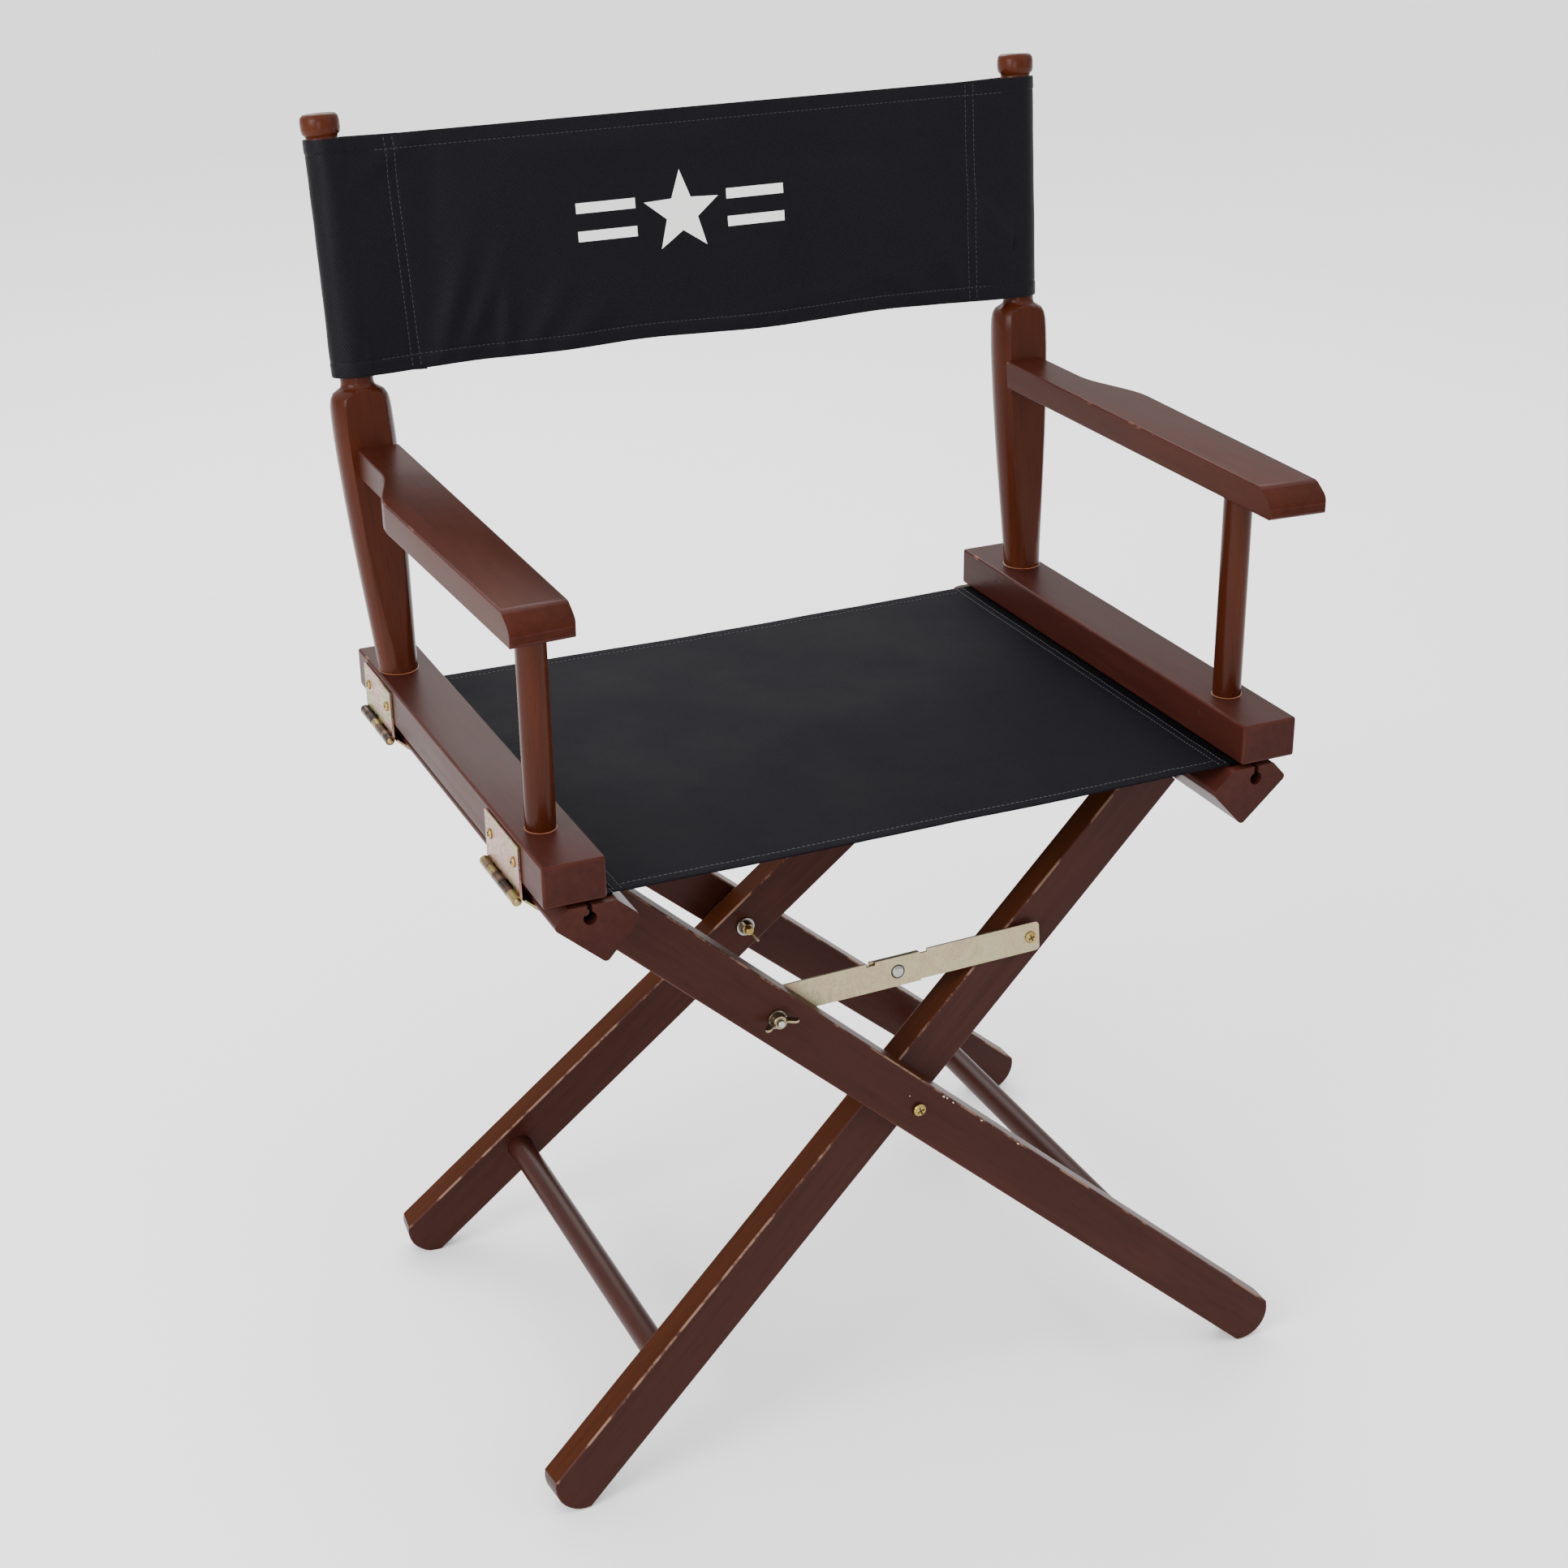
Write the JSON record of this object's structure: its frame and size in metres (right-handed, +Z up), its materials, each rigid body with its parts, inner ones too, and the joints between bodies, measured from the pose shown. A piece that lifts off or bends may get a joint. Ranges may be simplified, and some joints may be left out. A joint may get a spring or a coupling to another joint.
{
  "type": "folding director chair",
  "caption": "Folding wooden director chair: crossed leg frames, flat arms, turned leaning back posts, canvas seat and back, side hinges and a riveted locking stay.",
  "frame": {"origin": "centre of the bounding box on the floor, under the feet", "axes": "+Z up, the chair faces -Y, +X is the right-hand side seen from the front"},
  "size_m": [0.557, 0.4142, 0.8606],
  "materials": {
    "leg": "satin brown stain, worn along the edges",
    "rail": "satin brown stain, worn along the edges",
    "turned": "satin brown stain on turned and flattened wood",
    "arm": "satin brown stain, lighter on top",
    "seat_rods": "plain dowel",
    "hinge_zinc": "yellow zinc plate",
    "stay_zinc": "yellow zinc plate",
    "bolt_steel": "bright zinc plate",
    "nut_zinc": "cast zinc",
    "seat_cloth": "plain woven cotton canvas",
    "back_cloth": "twill cotton canvas"
  },
  "bodies": {
    "outer_frame": {"outer_leg_front": "leg", "outer_leg_rear": "leg", "lower_rail_left": "rail", "stretcher_right": "turned", "hinge_left_rear_lower_leaf": "hinge_zinc", "hinge_left_rear_pin": "hinge_zinc", "hinge_left_front_lower_leaf": "hinge_zinc", "hinge_left_front_pin": "hinge_zinc", "pivot_bolt_front": "bolt_steel", "pivot_bolt_rear": "bolt_steel", "pivot_spacer_front": "bolt_steel", "pivot_spacer_rear": "bolt_steel", "pivot_washer_front": "bolt_steel", "pivot_washer_rear": "bolt_steel", "stay_bolt": "bolt_steel", "stay_washer": "bolt_steel", "seat_hem_left": "seat_cloth", "seat_rod_left": "seat_rods"},
    "inner_frame": {"inner_leg_front": "leg", "inner_leg_rear": "leg", "lower_rail_right": "rail", "stretcher_left": "turned", "hinge_right_rear_lower_leaf": "hinge_zinc", "hinge_right_rear_pin": "hinge_zinc", "hinge_right_front_lower_leaf": "hinge_zinc", "hinge_right_front_pin": "hinge_zinc", "seat_hem_right": "seat_cloth", "seat_rod_right": "seat_rods"},
    "left_side": {"upper_rail_left": "rail", "back_post_left": "turned", "armrest_left": "arm", "arm_dowel_left": "turned", "hinge_left_rear_upper_leaf": "hinge_zinc", "hinge_left_front_upper_leaf": "hinge_zinc"},
    "right_side": {"upper_rail_right": "rail", "back_post_right": "turned", "armrest_right": "arm", "arm_dowel_right": "turned", "hinge_right_rear_upper_leaf": "hinge_zinc", "hinge_right_front_upper_leaf": "hinge_zinc"},
    "stay_left": {"stay_bar_left": "stay_zinc", "stay_rivet": "bolt_steel"},
    "stay_right": {"stay_bar_right": "stay_zinc", "stay_screw": "bolt_steel"},
    "front_nut": {"wing_nut_front": "nut_zinc"},
    "rear_nut": {"wing_nut_rear": "nut_zinc"},
    "stay_nut": {"wing_nut_stay": "nut_zinc"},
    "seat_left": {"seat_canvas_left": "seat_cloth"},
    "seat_right": {"seat_canvas_right": "seat_cloth"},
    "back_left": {"back_canvas_left": "back_cloth"},
    "back_right": {"back_canvas_right": "back_cloth"}
  },
  "joints": [
    {"name": "leg_fold", "type": "hinge", "parent": "outer_frame", "child": "inner_frame", "pos_m": [0, -0.0026, 0.2419], "axis": [0, -1, 0], "range_deg": [0, 85]},
    {"name": "left_side_fold", "type": "hinge", "parent": "outer_frame", "child": "left_side", "pos_m": [-0.2656, -0.0026, 0.44909], "axis": [0, -1, 0], "range_deg": [0, 42.5]},
    {"name": "right_side_fold", "type": "hinge", "parent": "inner_frame", "child": "right_side", "pos_m": [0.2656, -0.0026, 0.44909], "axis": [0, -1, 0], "range_deg": [-42.5, 0]},
    {"name": "stay_left_swing", "type": "hinge", "parent": "outer_frame", "child": "stay_left", "pos_m": [-0.09572, -0.1386, 0.32688], "axis": [-0.0486, -0.998, 0.0402], "range_deg": [0, 147.74]},
    {"name": "stay_right_swing", "type": "hinge", "parent": "stay_left", "child": "stay_right", "pos_m": [0.00049, -0.13955, 0.32938], "axis": [-0.0116, -0.9978, 0.0655], "range_deg": [-163.85, 0]},
    {"name": "seat_left_fold", "type": "hinge", "parent": "outer_frame", "child": "seat_left", "pos_m": [-0.21603, -0.0026, 0.458], "axis": [0, -1, 0], "range_deg": [0, 129], "deforming": ["seat_canvas_left"]},
    {"name": "seat_right_fold", "type": "hinge", "parent": "seat_left", "child": "seat_right", "pos_m": [0, -0.0026, 0.458], "axis": [0, -1, 0], "range_deg": [-172.97, 0], "deforming": ["seat_canvas_right"]},
    {"name": "back_left_fold", "type": "hinge", "parent": "left_side", "child": "back_left", "pos_m": [-0.25487, 0.18242, 0.76664], "axis": [-0.03, 0.1324, 0.9907], "range_deg": [0, 79.83], "deforming": ["back_canvas_left"]},
    {"name": "back_right_fold", "type": "hinge", "parent": "back_left", "child": "back_right", "pos_m": [0, 0.17642, 0.76664], "axis": [0, 0.1325, 0.9912], "range_deg": [-159.63, 0], "deforming": ["back_canvas_right"]},
    {"name": "front_nut_spin", "type": "hinge", "parent": "outer_frame", "child": "front_nut", "pos_m": [0, -0.1206, 0.2419], "axis": [0, 1, 0], "continuous": true},
    {"name": "rear_nut_spin", "type": "hinge", "parent": "outer_frame", "child": "rear_nut", "pos_m": [0, 0.1154, 0.2419], "axis": [0, -1, 0], "continuous": true},
    {"name": "stay_nut_spin", "type": "hinge", "parent": "outer_frame", "child": "stay_nut", "pos_m": [-0.09698, -0.16455, 0.32793], "axis": [-0.0486, -0.998, 0.0402], "continuous": true}
  ],
  "couplings": [
    {"joint": "left_side_fold", "follows": "leg_fold", "ratio": 0.5},
    {"joint": "right_side_fold", "follows": "leg_fold", "ratio": -0.5},
    {"joint": "stay_left_swing", "follows": "leg_fold", "ratio": 1.7378},
    {"joint": "stay_right_swing", "follows": "leg_fold", "ratio": -1.9274},
    {"joint": "seat_left_fold", "follows": "leg_fold", "ratio": 1.5174},
    {"joint": "seat_right_fold", "follows": "leg_fold", "ratio": -2.0347},
    {"joint": "back_left_fold", "follows": "leg_fold", "ratio": 0.93888},
    {"joint": "back_right_fold", "follows": "leg_fold", "ratio": -1.8778}
  ]
}
